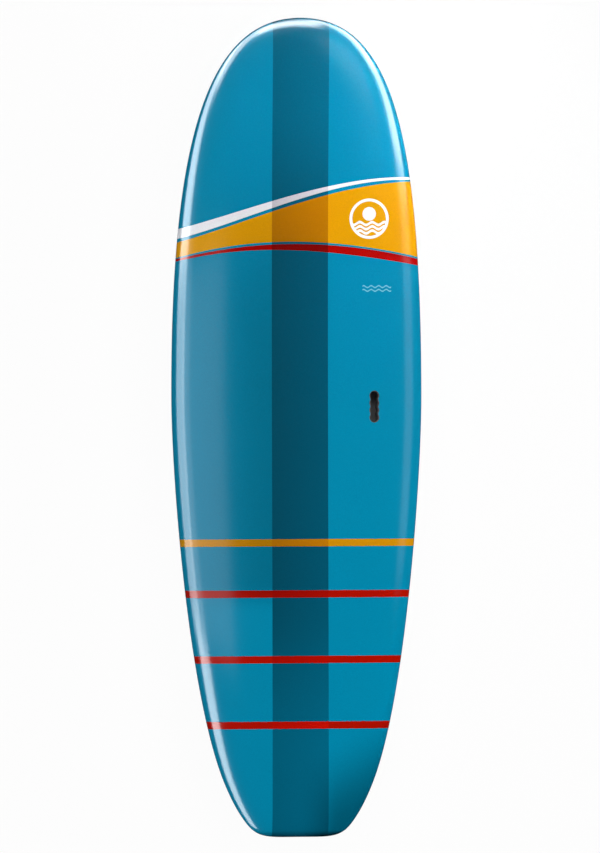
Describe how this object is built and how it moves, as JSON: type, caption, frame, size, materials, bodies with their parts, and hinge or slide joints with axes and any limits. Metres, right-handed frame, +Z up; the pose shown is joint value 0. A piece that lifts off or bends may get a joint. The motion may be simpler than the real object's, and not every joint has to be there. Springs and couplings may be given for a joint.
{
  "type": "surfboard",
  "caption": "Wide round-nosed surfboard with a squash tail, a scalloped hand grip let into the deck, side fins and a centre fin that slides along its box.",
  "frame": {"origin": "under the middle of the board's length and width, level with the tip of the centre fin", "axes": "+Y towards the nose, +X to starboard, +Z up out of the deck; the board lies level, fins down"},
  "size_m": [0.758, 2.44, 0.3061],
  "materials": {
    "deck_blue": "satin",
    "bottom_white": "satin",
    "eps_foam": "matte",
    "dense_foam": "matte",
    "stringer_ply": "matte",
    "grip_black": "matte",
    "fitting_black": "satin",
    "fin_black": "satin",
    "stainless": "satin"
  },
  "bodies": {
    "board": {"deck_skin": "deck_blue", "bottom_skin": "bottom_white", "deck_patch": "dense_foam", "foam_core_left": "eps_foam", "foam_core_right": "eps_foam", "stringer": "stringer_ply", "hand_grip_cup": "grip_black", "hand_grip_block": "dense_foam", "centre_fin_box": "fitting_black", "centre_fin_block": "dense_foam", "side_fin_box_left": "fitting_black", "side_fin_box_right": "fitting_black", "side_fin_block_left": "dense_foam", "side_fin_block_right": "dense_foam", "side_fin_left": "fin_black", "side_fin_right": "fin_black", "side_fin_screws": "stainless", "leash_cup": "fitting_black", "leash_pin": "stainless", "leash_block": "dense_foam"},
    "centre_fin": {"centre_fin": "fin_black", "centre_fin_pin": "stainless", "centre_fin_screw": "stainless", "centre_fin_plate": "stainless"}
  },
  "joints": [
    {"name": "centre_fin_slide", "type": "slide", "parent": "board", "child": "centre_fin", "axis": [0, 0.9981, -0.0609], "range_m": [-0.04, 0.04]}
  ]
}
